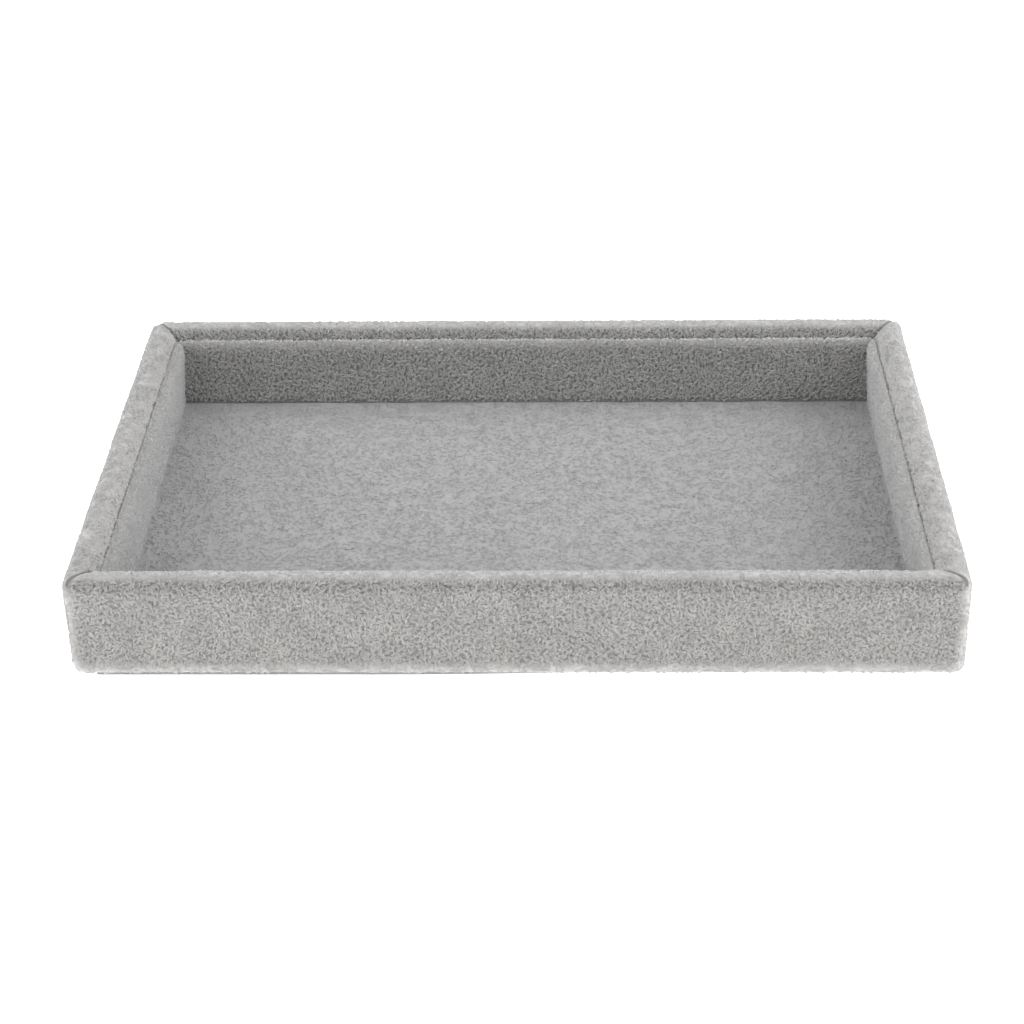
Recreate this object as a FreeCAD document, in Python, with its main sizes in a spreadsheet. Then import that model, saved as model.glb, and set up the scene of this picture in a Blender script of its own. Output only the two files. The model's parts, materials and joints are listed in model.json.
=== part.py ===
import FreeCAD, Part
import os

import Sketcher
from FreeCAD import Placement, Rotation, Vector

# Jewelry tray: a rounded wooden frame on a thin base, wrapped in plush, with plush liners and a floor pad.
# Millimetres. +X is the long side, +Y the back, +Z up. The origin is at the middle of the underside.

SIZES = {
    # Outside of the finished tray, over the plush
    "tray_length": 300.0,
    "tray_depth": 200.0,
    "tray_height": 37.5,
    # Plush, loose on the show faces and pressed where it is glued under or behind a board
    "plush_thickness": 1.0,
    "pressed_plush": 0.4,
    "hem_width": 12.0,
    "mitre_gap": 0.3,
    "mitre_drop": 3.0,
    # Wooden frame and base
    "rail_thickness": 9.0,
    "rail_round": 3.2,
    "rail_inner_round": 5.2,
    "corner_round": 3.6,
    "base_thickness": 3.0,
    "base_round": 2.0,
    # Liners and floor pad
    "card_thickness": 1.0,
    "liner_drop": 3.9,
    "pad_round": 0.9,
    "seat_gap": 0.15,
    # Felt sheet under the base
    "felt_thickness": 0.6,
    "felt_inset": 5.0,
    "felt_corner": 3.0,
    # Brads, cut from flat wire
    "wire_width": 1.25,
    "wire_thickness": 1.0,
    "brad_head": 2.0,
    "brad_head_height": 0.6,
    "brad_point": 1.6,
    "corner_brad_length": 25.0,
    "corner_brad_spacing": 16.0,
    "base_brad_length": 15.0,
    "long_brad_spacing": 100.0,
    "short_brad_spacing": 60.0,
}

doc = FreeCAD.newDocument("jewelry_tray")
sheet = doc.addObject("Spreadsheet::Sheet", "sizes")
for row, (alias, value) in enumerate(SIZES.items(), start=1):
    sheet.set(f"A{row}", alias)
    sheet.set(f"B{row}", str(value))
    sheet.setAlias(f"B{row}", alias)
doc.recompute()

# Heights, from the felt up
BASE_BOTTOM = "(sizes.felt_thickness)"
WRAP_BOTTOM = "(sizes.felt_thickness - sizes.pressed_plush)"
RAIL_BOTTOM = "(sizes.felt_thickness + sizes.base_thickness)"
RAIL_TOP = "(sizes.tray_height - sizes.plush_thickness)"
PAD_CARD_BOTTOM = f"({RAIL_BOTTOM} + sizes.pressed_plush)"
PAD_CARD_TOP = f"({PAD_CARD_BOTTOM} + sizes.card_thickness)"
FLOOR_TOP = f"({PAD_CARD_TOP} + sizes.plush_thickness)"
LINER_HEIGHT = f"(sizes.tray_height - sizes.liner_drop - {FLOOR_TOP})"

# Distances in from the outer face of the plush
WOOD_INSET = "(sizes.plush_thickness)"
RAIL_MIDDLE_INSET = "(sizes.plush_thickness + sizes.rail_thickness / 2)"
RAIL_INNER_INSET = "(sizes.plush_thickness + sizes.rail_thickness)"
WELL_INSET = f"({RAIL_INNER_INSET} + sizes.plush_thickness)"
RAIL_CROWN_INSET = f"({RAIL_INNER_INSET} - sizes.rail_inner_round)"
PAD_INSET = f"({WELL_INSET} + sizes.seat_gap)"
PAD_CARD_INSET = f"({PAD_INSET} + sizes.pressed_plush)"
PAD_HEM_INSET = f"({PAD_CARD_INSET} + sizes.hem_width)"
WRAP_HEM_INSET = f"({WOOD_INSET} + sizes.hem_width)"
FELT_INSET = "(sizes.felt_inset)"
LINER_THICKNESS = "(sizes.pressed_plush + sizes.card_thickness + sizes.plush_thickness)"

# Share of a thin wall that a rounding may take
ROUND_SHARE = 0.9
# The cuts at the corners run along their diagonals, and those that leave the block end clear of it
MITRE_SINE = "sin(45 deg)"
PAST_EDGE = "(-sizes.mitre_gap)"
JOINT_INSET = f"({WOOD_INSET} + sizes.corner_round)"
CORNERS = [(-1, -1), (1, -1), (1, 1), (-1, 1)]
STRIP_END_CORNER = (-1, 1)
# Places that differ by less than this are the same
SAME_PLACE = 1e-4
# How constraints count the ends of a line, the two axes of a sketch and its origin
START = 1
END = START + 1
LEVEL_AXIS = -1
UPRIGHT_AXIS = LEVEL_AXIS - 1
ORIGIN = (-1, 1)


def half(size, inset):
    """Distance from the middle of the tray to a line that lies inset in from its outer face."""
    return f"(sizes.{size} / 2 - {inset})"


def plane(body, role):
    """The body's own origin plane with this role."""
    return next(item for item in body.Origin.OriginFeatures if item.Role == role)


def new_body(name):
    """A body with this name and label."""
    body = doc.addObject("PartDesign::Body", name)
    body.Label = name
    return body


def new_sketch(body, name, role, offset="0"):
    """A sketch on an origin plane of the body, moved along the plane's normal by an expression."""
    sketch = body.newObject("Sketcher::SketchObject", name)
    sketch.AttachmentSupport = [(plane(body, role), "")]
    sketch.MapMode = "FlatFace"
    sketch.setExpression("AttachmentOffset.Base.z", f"{offset} * 1 mm")
    return sketch


def number(expression):
    """The value that an expression of the sheet has now."""
    return float(sheet.evalExpression(expression.replace("sizes.", "")))


def add_outline(sketch, corners, arc_after=None):
    """A closed outline through corners, each a pair of expressions, with an arc after one of them."""
    first = sketch.GeometryCount
    count = len(corners)
    points = [Vector(number(across), number(up), 0) for across, up in corners]
    for index, start in enumerate(points):
        end = points[(index + 1) % count]
        if index == arc_after:
            middle = (start + end) / 2 + Vector(0, (start - end).Length / 2, 0)
            sketch.addGeometry(Part.Arc(start, middle, end))
        else:
            sketch.addGeometry(Part.LineSegment(start, end))
    for index in range(count):
        following = (index + 1) % count
        kind = "Tangent" if arc_after in (index, following) else "Coincident"
        sketch.addConstraint(Sketcher.Constraint(kind, first + index, END, first + following, START))
    for index, (across, up) in enumerate(corners):
        for kind, axis, expression in (("DistanceX", UPRIGHT_AXIS, across), ("DistanceY", LEVEL_AXIS, up)):
            if index == arc_after and kind == "DistanceY":
                continue
            corner = (first + index, START)
            if expression == "0":
                sketch.addConstraint(Sketcher.Constraint("PointOnObject", *corner, axis))
                continue
            distance = Sketcher.Constraint(kind, *ORIGIN, *corner, number(expression))
            sketch.setExpression(f"Constraints[{sketch.addConstraint(distance)}]", expression)


def add_rectangle(sketch, inset):
    """A rectangle about the middle of the tray whose sides lie inset in from the outer face."""
    across = half("tray_length", inset)
    along = half("tray_depth", inset)
    add_outline(
        sketch,
        [(f"-{across}", f"-{along}"), (across, f"-{along}"), (across, along), (f"-{across}", along)],
    )


def pad(body, sketch, length, symmetric=False):
    """Pads a sketch by an expression, upwards or to both sides alike."""
    feature = body.newObject("PartDesign::Pad", f"{sketch.Name}_pad")
    feature.Profile = sketch
    feature.SideType = "Symmetric" if symmetric else "One side"
    feature.setExpression("Length", length)
    doc.recompute()


def pocket(body, sketch, depth, upwards=False):
    """Cuts a sketch by an expression, downwards or upwards, and makes sure that it took material away."""
    before = body.Shape.Volume
    feature = body.newObject("PartDesign::Pocket", f"{sketch.Name}_pocket")
    feature.Profile = sketch
    feature.Reversed = upwards
    feature.setExpression("Length", depth)
    doc.recompute()
    if body.Shape.Volume >= before:
        raise RuntimeError(f"{feature.Name} cuts nothing")


def fillet(body, name, edges_at, radius):
    """Rounds the edges of the body's last feature that a test picks."""
    base = body.Tip
    names = [f"Edge{index}" for index, edge in enumerate(base.Shape.Edges, start=1) if edges_at(edge)]
    feature = body.newObject("PartDesign::Fillet", name)
    feature.Base = (base, names)
    feature.setExpression("Radius", radius)
    doc.recompute()


def upright(edge):
    """True for a vertical edge."""
    box = edge.BoundBox
    return box.ZLength > max(box.XLength, box.YLength)


def level(height):
    """A test for edges that lie wholly at a height."""

    def at_height(edge):
        box = edge.BoundBox
        return max(abs(box.ZMin - height), abs(box.ZMax - height)) < SAME_PLACE

    return at_height


def rim(height, inset, inner):
    """A test for the edges at a height that lie on a rectangle inset from the outer face, or outside it."""
    across = number(half("tray_length", inset)) + SAME_PLACE
    along = number(half("tray_depth", inset)) + SAME_PLACE
    at_height = level(height)

    def on_rim(edge):
        box = edge.BoundBox
        inside = max(-box.XMin, box.XMax) < across and max(-box.YMin, box.YMax) < along
        return at_height(edge) and inside == inner

    return on_rim


def boolean(kind, name, base, tool):
    """A Part boolean of two objects."""
    feature = doc.addObject(f"Part::{kind}", name)
    feature.Label = name
    feature.Base = base
    feature.Tool = tool
    doc.recompute()
    return feature


def place(item, across, along, up, rotation=None):
    """Places an object by expressions for X, Y and Z."""
    item.Placement = Placement(Vector(), rotation or Rotation())
    for axis, expression in zip("xyz", (across, along, up)):
        item.setExpression(f"Placement.Base.{axis}", f"{expression} * 1 mm")


def limited(size, wall):
    """A rounding that its wall may limit."""
    return f"min(sizes.{size}; {ROUND_SHARE} * {wall})"


# The rail's top edges: the outer rounding stays within the corners', the inner one takes most of the rest
RIM_ROUND = limited("rail_round", "sizes.corner_round")
RIM_INNER_ROUND = limited("rail_inner_round", f"(sizes.rail_thickness - {RIM_ROUND})")


def make_frame():
    """The glued-up frame, rounded over round its outer corners and along its top edges, more so inside."""
    body = new_body("frame")
    outline = new_sketch(body, "frame_outline", "XY_Plane", RAIL_BOTTOM)
    add_rectangle(outline, WOOD_INSET)
    pad(body, outline, f"{RAIL_TOP} - {RAIL_BOTTOM}")
    fillet(body, "frame_corners", upright, "sizes.corner_round")
    opening = new_sketch(body, "frame_opening", "XY_Plane", RAIL_TOP)
    add_rectangle(opening, RAIL_INNER_INSET)
    pocket(body, opening, f"{RAIL_TOP} - {RAIL_BOTTOM}")
    fillet(body, "frame_outer_edge", rim(number(RAIL_TOP), RAIL_INNER_INSET, False), RIM_ROUND)
    fillet(body, "frame_inner_edge", rim(number(RAIL_TOP), RAIL_INNER_INSET, True), RIM_INNER_ROUND)
    return body


def make_base():
    """The base board, as large as the frame, with its lower edge rounded for the hem."""
    body = new_body("base")
    outline = new_sketch(body, "base_outline", "XY_Plane", BASE_BOTTOM)
    add_rectangle(outline, WOOD_INSET)
    pad(body, outline, "sizes.base_thickness")
    fillet(body, "base_corners", upright, "sizes.corner_round")
    fillet(body, "base_lower_edge", level(number(BASE_BOTTOM)), limited("base_round", "sizes.base_thickness"))
    return body


def make_brad(name, length):
    """A flat-wire brad with a T head on the XY plane and a chisel point upwards."""
    body = new_body(name)
    profile = new_sketch(body, f"{name}_profile", "XZ_Plane")
    head = "sizes.brad_head / 2"
    shank = "sizes.wire_width / 2"
    shoulder = f"(sizes.{length} - sizes.brad_point)"
    neck = "sizes.brad_head_height"
    one_side = [(head, "0"), (head, neck), (shank, neck), (shank, shoulder)]
    other_side = [(f"-{across}", up) for across, up in reversed(one_side)]
    add_outline(profile, [*one_side, ("0", f"sizes.{length}"), *other_side])
    pad(body, profile, "sizes.wire_thickness", symmetric=True)
    return body


def group_brads(name, brad, places):
    """One object with a copy of the brad at each place, given as X, Y and Z expressions and a rotation."""
    copies = []
    for across, along, up, rotation in places:
        copy = doc.addObject("App::Link", f"{name}_copy")
        copy.LinkedObject = brad
        copy.LinkTransform = False
        place(copy, across, along, up, rotation)
        copies.append(copy)
    group = doc.addObject("Part::Compound", name)
    group.Label = name
    group.Links = copies
    doc.recompute()
    return group


def make_corner_brads():
    """Two brads at each corner, through the long rails into the ends of the short ones."""
    middle = f"(({RAIL_BOTTOM} + {RAIL_TOP}) / 2)"
    across = half("tray_length", RAIL_MIDDLE_INSET)
    along = half("tray_depth", WOOD_INSET)
    places = []
    for side_x in ("", "-"):
        for side_y, turn in (("-", -90), ("", 90)):
            for step in ("+", "-"):
                up = f"({middle} {step} sizes.corner_brad_spacing / 2)"
                places.append((side_x + across, side_y + along, up, Rotation(Vector(1, 0, 0), turn)))
    brad = make_brad("corner_brad", "corner_brad_length")
    return group_brads("corner_brads", brad, places)


def make_base_brads():
    """Three brads up into each long rail and two into each short one."""
    across = half("tray_length", RAIL_MIDDLE_INSET)
    along = half("tray_depth", RAIL_MIDDLE_INSET)
    places = []
    for side in ("-", ""):
        for step in ("-sizes.long_brad_spacing", "0", "sizes.long_brad_spacing"):
            places.append((step, side + along, BASE_BOTTOM, Rotation()))
        for step in ("-sizes.short_brad_spacing / 2", "sizes.short_brad_spacing / 2"):
            places.append((side + across, step, BASE_BOTTOM, Rotation()))
    brad = make_brad("base_brad", "base_brad_length")
    return group_brads("base_brads", brad, places)


def make_rails(frame, corner_brads, base_brads):
    """The four rails: the long ones run right through, the short ones butt between them."""
    outer = half("tray_length", WOOD_INSET)
    outer_along = half("tray_depth", WOOD_INSET)
    inner_along = half("tray_depth", RAIL_INNER_INSET)
    inner = half("tray_length", RAIL_INNER_INSET)
    zones = {
        "front_rail": (f"-{outer}", f"-{outer_along}", f"2 * {outer}", "sizes.rail_thickness"),
        "rear_rail": (f"-{outer}", inner_along, f"2 * {outer}", "sizes.rail_thickness"),
        "left_rail": (f"-{outer}", f"-{inner_along}", "sizes.rail_thickness", f"2 * {inner_along}"),
        "right_rail": (inner, f"-{inner_along}", "sizes.rail_thickness", f"2 * {inner_along}"),
    }
    rails = []
    for name, (across, along, length, width) in zones.items():
        zone = doc.addObject("Part::Box", f"{name}_zone")
        zone.setExpression("Length", length)
        zone.setExpression("Width", width)
        zone.setExpression("Height", f"{RAIL_TOP} - {RAIL_BOTTOM}")
        place(zone, across, along, RAIL_BOTTOM)
        blank = boolean("Common", f"{name}_blank", frame, zone)
        nailed = boolean("Cut", f"{name}_nailed", blank, corner_brads)
        rails.append(boolean("Cut", name, nailed, base_brads))
    return rails


def add_mitres(sketch, inner, outer, corners=CORNERS):
    """A thin cut along the diagonal of each corner, from inset inner out to inset outer."""
    shift = f"sizes.mitre_gap / 2 * {MITRE_SINE}"
    for side_x, side_y in corners:
        ends = {}
        for inset in (inner, outer):
            across = half("tray_length", inset)
            along = half("tray_depth", inset)
            for hand in (1, -1):
                ends[inset, hand] = (
                    f"({side_x} * {across} + {hand * side_y} * {shift})",
                    f"({side_y} * {along} - {hand * side_x} * {shift})",
                )
        add_outline(sketch, [ends[inner, 1], ends[outer, 1], ends[outer, -1], ends[inner, -1]])


def make_outer_wrap(frame, base):
    """The plush strip round the outside, over the rim, down behind the liners and under the base.

    It is mitred over each rim corner, down each inner corner and in the hem, and its ends meet down the
    outer corner at the back left.
    """
    body = new_body("wrap_block")
    outline = new_sketch(body, "wrap_outline", "XY_Plane", WRAP_BOTTOM)
    add_rectangle(outline, "0")
    pad(body, outline, f"sizes.tray_height - {WRAP_BOTTOM}")
    fillet(body, "wrap_corners", upright, "sizes.corner_round + sizes.plush_thickness")
    well = new_sketch(body, "wrap_well", "XY_Plane", "sizes.tray_height")
    add_rectangle(well, WELL_INSET)
    pocket(body, well, f"sizes.tray_height - {RAIL_BOTTOM}")
    for name, rounding, inner in (("outer", RIM_ROUND, False), ("inner", RIM_INNER_ROUND, True)):
        edges = rim(number("sizes.tray_height"), WELL_INSET, inner)
        fillet(body, f"wrap_{name}_edge", edges, f"{rounding} + sizes.plush_thickness")
    fillet(
        body,
        "wrap_lower_edge",
        level(number(WRAP_BOTTOM)),
        f"{limited('base_round', 'sizes.base_thickness')} + sizes.plush_thickness",
    )
    underside = new_sketch(body, "wrap_underside", "XY_Plane", WRAP_BOTTOM)
    add_rectangle(underside, WRAP_HEM_INSET)
    pocket(body, underside, "sizes.pressed_plush", upwards=True)
    tail_height = f"sizes.tray_height - {RAIL_BOTTOM}"
    outer_height = f"sizes.tray_height - {WRAP_BOTTOM}"
    cuts = {
        "rim": (WELL_INSET, PAST_EDGE, "sizes.tray_height", "sizes.mitre_drop", CORNERS),
        "tail": (WELL_INSET, RAIL_CROWN_INSET, "sizes.tray_height", tail_height, CORNERS),
        "joint": (JOINT_INSET, PAST_EDGE, "sizes.tray_height", outer_height, [STRIP_END_CORNER]),
        "hem": (WRAP_HEM_INSET, WOOD_INSET, BASE_BOTTOM, "sizes.pressed_plush", CORNERS),
    }
    for kind, (inner, outer, top, depth, corners) in cuts.items():
        cut = new_sketch(body, f"wrap_{kind}_cuts", "XY_Plane", top)
        add_mitres(cut, f"({inner} + sizes.mitre_gap)", outer, corners)
        pocket(body, cut, depth)
    over_frame = boolean("Cut", "wrap_over_frame", body, frame)
    return boolean("Cut", "outer_wrap", over_frame, base)


def make_floor_pad():
    """The floor pad: a card, and the plush over it that turns under its edges."""
    card = new_body("floor_card")
    card_outline = new_sketch(card, "floor_card_outline", "XY_Plane", PAD_CARD_BOTTOM)
    add_rectangle(card_outline, PAD_CARD_INSET)
    pad(card, card_outline, "sizes.card_thickness")

    plush = new_body("floor_plush")
    outline = new_sketch(plush, "floor_plush_outline", "XY_Plane", RAIL_BOTTOM)
    add_rectangle(outline, PAD_INSET)
    pad(plush, outline, f"{FLOOR_TOP} - {RAIL_BOTTOM}")
    fillet(plush, "floor_plush_edge", level(number(FLOOR_TOP)), limited("pad_round", "sizes.plush_thickness"))
    inside = new_sketch(plush, "floor_plush_inside", "XY_Plane", PAD_CARD_TOP)
    add_rectangle(inside, PAD_CARD_INSET)
    pocket(plush, inside, "sizes.card_thickness")
    underside = new_sketch(plush, "floor_plush_underside", "XY_Plane", RAIL_BOTTOM)
    add_rectangle(underside, PAD_HEM_INSET)
    pocket(plush, underside, "sizes.pressed_plush", upwards=True)
    return [card, plush]


def make_liner(side, length, wall, turn):
    """One inner wall: a card, and the plush that covers its face, rounds its top and turns down its back.

    The section has its back on the wall and stands on the floor pad. It runs along local X.
    """
    card_back = "sizes.pressed_plush"
    card_face = "(sizes.pressed_plush + sizes.card_thickness)"
    card_top = f"({LINER_HEIGHT} - sizes.plush_thickness)"
    shoulder = f"({LINER_HEIGHT} - {LINER_THICKNESS} / 2)"
    hem_end = f"({LINER_HEIGHT} - sizes.hem_width)"
    card_corners = [(card_back, "0"), (card_face, "0"), (card_face, card_top), (card_back, card_top)]
    plush_corners = [
        (card_face, "0"),
        (LINER_THICKNESS, "0"),
        (LINER_THICKNESS, shoulder),
        ("0", shoulder),
        ("0", hem_end),
        (card_back, hem_end),
        (card_back, card_top),
        (card_face, card_top),
    ]
    round_top = plush_corners.index((LINER_THICKNESS, shoulder))
    sections = {"card": (card_corners, None), "plush": (plush_corners, round_top)}
    pieces = []
    for kind, (corners, arc_after) in sections.items():
        body = new_body(f"{side}_liner_{kind}")
        section = new_sketch(body, f"{side}_liner_{kind}_section", "YZ_Plane")
        add_outline(section, corners, arc_after)
        pad(body, section, length, symmetric=True)
        place(body, wall[0], wall[1], FLOOR_TOP, Rotation(Vector(0, 0, 1), turn))
        pieces.append(body)
    return pieces


def make_liners():
    """The long liners run from wall to wall, and the short ones fit between them."""
    across = half("tray_length", WELL_INSET)
    along = half("tray_depth", WELL_INSET)
    long_run = f"2 * ({across} - sizes.seat_gap)"
    short_run = f"2 * ({along} - {LINER_THICKNESS} - sizes.seat_gap)"
    walls = {
        "front": (long_run, ("0", f"-{along}"), 0),
        "rear": (long_run, ("0", along), 180),
        "left": (short_run, (f"-{across}", "0"), -90),
        "right": (short_run, (across, "0"), 90),
    }
    pieces = []
    for side, (length, wall, turn) in walls.items():
        pieces += make_liner(side, length, wall, turn)
    return pieces


def make_bottom_cover():
    """The felt sheet under the base, pressed thinner where it lies over the hem."""
    body = new_body("bottom_cover")
    outline = new_sketch(body, "bottom_cover_outline", "XY_Plane")
    add_rectangle(outline, FELT_INSET)
    pad(body, outline, "sizes.felt_thickness")
    fillet(body, "bottom_cover_corners", upright, "sizes.felt_corner")
    border = new_sketch(body, "bottom_cover_border", "XY_Plane", "sizes.felt_thickness")
    add_rectangle(border, "0")
    add_rectangle(border, WRAP_HEM_INSET)
    pocket(body, border, "sizes.pressed_plush")
    return body


def main():
    """Builds every piece, checks them all and writes each to its own file."""
    frame = make_frame()
    base = make_base()
    corner_brads = make_corner_brads()
    base_brads = make_base_brads()
    pieces = [corner_brads, base_brads]
    pieces += make_rails(frame, corner_brads, base_brads)
    pieces.append(boolean("Cut", "base_board", base, base_brads))
    pieces.append(make_outer_wrap(frame, base))
    pieces += make_floor_pad()
    pieces += make_liners()
    pieces.append(make_bottom_cover())
    doc.recompute()
    for item in doc.Objects:
        if {"Invalid", "Error"} & set(item.State):
            raise RuntimeError(f"{item.Name} did not compute: {item.State}")
    for piece in pieces:
        if piece.Shape.isNull() or not piece.Shape.isValid():
            raise RuntimeError(f"{piece.Label} has no valid shape")
    os.makedirs("parts", exist_ok=True)
    for piece in pieces:
        piece.Shape.exportStep(f"parts/{piece.Label}.step")
        print(f"{piece.Label}: {len(piece.Shape.Solids)} solid, {piece.Shape.Volume:.1f} mm3")


main()
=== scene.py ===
"""Grey plush jewelry tray, dressed over its fixed construction frame.

The frame gives the sizes. The plush and the felt are rebuilt here as folded cloth. On the plush stands a
pile of bent tufts that follow each other in short curls, with fine fuzz on the outside. The boards, cards
and brads under the cloth keep their shapes and get their own finishes. All lengths are in metres.
"""

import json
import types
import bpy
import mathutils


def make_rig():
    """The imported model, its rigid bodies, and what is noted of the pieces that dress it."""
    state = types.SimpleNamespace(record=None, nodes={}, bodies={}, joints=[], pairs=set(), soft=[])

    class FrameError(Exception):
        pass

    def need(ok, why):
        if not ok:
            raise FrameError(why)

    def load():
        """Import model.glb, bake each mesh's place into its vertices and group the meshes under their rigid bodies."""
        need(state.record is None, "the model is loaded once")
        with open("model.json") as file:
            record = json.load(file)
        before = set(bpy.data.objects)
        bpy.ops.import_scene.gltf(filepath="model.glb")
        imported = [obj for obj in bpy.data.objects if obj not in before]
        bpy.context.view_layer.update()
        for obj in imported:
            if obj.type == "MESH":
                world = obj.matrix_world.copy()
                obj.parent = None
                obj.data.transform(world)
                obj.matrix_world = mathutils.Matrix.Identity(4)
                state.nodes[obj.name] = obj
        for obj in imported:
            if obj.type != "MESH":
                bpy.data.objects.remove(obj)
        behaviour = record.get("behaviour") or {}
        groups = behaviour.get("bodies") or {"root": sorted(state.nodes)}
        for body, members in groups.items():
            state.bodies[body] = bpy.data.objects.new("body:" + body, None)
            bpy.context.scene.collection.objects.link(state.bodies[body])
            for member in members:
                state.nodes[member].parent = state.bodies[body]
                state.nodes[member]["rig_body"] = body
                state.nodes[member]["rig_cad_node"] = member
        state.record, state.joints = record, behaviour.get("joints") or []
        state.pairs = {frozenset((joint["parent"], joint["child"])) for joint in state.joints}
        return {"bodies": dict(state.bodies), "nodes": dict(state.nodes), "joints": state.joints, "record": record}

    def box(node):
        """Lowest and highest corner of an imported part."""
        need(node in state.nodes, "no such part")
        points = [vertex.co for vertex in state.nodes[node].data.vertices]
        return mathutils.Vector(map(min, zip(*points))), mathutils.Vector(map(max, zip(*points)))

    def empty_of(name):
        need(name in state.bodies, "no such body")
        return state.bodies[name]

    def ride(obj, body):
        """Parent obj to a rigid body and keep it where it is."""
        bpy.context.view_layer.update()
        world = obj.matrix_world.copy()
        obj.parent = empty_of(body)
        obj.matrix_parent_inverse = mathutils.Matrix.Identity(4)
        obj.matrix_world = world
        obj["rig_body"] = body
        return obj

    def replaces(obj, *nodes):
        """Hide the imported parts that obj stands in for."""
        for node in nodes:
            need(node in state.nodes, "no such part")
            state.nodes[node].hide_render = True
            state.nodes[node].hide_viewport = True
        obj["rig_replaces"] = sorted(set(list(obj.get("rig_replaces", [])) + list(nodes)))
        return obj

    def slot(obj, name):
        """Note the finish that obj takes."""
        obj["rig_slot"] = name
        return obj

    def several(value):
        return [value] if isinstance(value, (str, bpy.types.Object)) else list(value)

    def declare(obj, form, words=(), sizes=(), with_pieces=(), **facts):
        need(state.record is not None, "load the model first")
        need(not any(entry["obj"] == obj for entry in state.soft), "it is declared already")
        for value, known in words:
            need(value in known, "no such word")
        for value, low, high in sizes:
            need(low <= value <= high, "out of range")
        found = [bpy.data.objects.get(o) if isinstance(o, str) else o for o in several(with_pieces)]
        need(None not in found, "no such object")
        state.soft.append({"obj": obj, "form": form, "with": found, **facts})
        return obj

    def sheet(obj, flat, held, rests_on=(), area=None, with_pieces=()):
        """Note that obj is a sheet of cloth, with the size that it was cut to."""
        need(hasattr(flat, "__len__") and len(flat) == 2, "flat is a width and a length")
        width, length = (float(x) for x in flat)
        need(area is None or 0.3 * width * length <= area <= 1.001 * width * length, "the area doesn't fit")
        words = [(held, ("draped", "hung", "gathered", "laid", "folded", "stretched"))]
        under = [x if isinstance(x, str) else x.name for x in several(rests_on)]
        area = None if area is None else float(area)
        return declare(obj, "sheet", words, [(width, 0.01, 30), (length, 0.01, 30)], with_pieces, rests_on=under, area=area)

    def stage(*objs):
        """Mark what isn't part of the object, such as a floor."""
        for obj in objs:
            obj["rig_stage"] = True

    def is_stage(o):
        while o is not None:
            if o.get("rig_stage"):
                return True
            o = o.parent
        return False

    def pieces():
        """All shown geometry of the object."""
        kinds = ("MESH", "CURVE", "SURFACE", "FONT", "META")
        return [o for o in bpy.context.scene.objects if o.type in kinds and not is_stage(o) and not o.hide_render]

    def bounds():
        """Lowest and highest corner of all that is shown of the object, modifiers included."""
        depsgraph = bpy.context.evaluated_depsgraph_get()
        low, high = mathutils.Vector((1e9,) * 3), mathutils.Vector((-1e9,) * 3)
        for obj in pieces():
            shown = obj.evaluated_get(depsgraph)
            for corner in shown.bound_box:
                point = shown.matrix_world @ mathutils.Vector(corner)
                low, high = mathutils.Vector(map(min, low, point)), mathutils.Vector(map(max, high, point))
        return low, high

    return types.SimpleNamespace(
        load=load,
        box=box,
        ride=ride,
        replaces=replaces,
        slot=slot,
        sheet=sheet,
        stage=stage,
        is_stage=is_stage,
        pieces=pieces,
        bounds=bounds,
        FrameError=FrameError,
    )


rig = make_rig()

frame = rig.load()

import json
import logging
import math
from abc import ABC, abstractmethod
from dataclasses import dataclass, field, fields, replace
from enum import Enum

import bmesh
import bpy
import numpy as np
from mathutils import Matrix, Vector

FRAME_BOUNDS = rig.bounds()
SIZE_FILE = "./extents.json"
MM = 0.001
BODY = "root"
CLOTH_MAP = "OFBake"
PILE = "pile"
PILE_DEPTH = 0.35 * MM
SHOWN_SHARE = 0.5
TINY = 1e-9

# Tones of the cloth under the pile: the curls' share of it, pressed flat, and what standing pile takes away. The
# darker tone between the curls and where the pile stands is painted shade between the tufts.
RIDGE_TONE = 0.4
PRESSED_TONE = 0.3
STANDING_SHADE = 1.05

# The values that most of a noise lies between, with several octaves and with few.
COARSE_NOISE = (0.3, 0.7)
FINE_NOISE = (0.25, 0.75)

LOG = logging.getLogger("tray")


class Side(Enum):
    """The four sides of the tray, each with its turn from the front, in quarter turns."""

    FRONT = 0
    RIGHT = 1
    REAR = 2
    LEFT = 3

    @property
    def label(self) -> str:
        """The side's name as the frame's nodes begin with it."""
        return self.name.lower()

    @property
    def is_long(self) -> bool:
        """True for the front and the rear."""
        return self in (Side.FRONT, Side.REAR)

    def place(self, local: np.ndarray) -> np.ndarray:
        """Turns points from the side's own axes, where X runs along it and Y points into the tray.

        Args:
            local: points in the side's axes, one in each row.

        Returns:
            The points in the tray's axes.
        """
        cosine, sine = [(1, 0), (0, 1), (-1, 0), (0, -1)][self.value]
        x, y, z = local.T
        return np.stack([cosine * x - sine * y, sine * x + cosine * y, z], axis=1)


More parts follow.
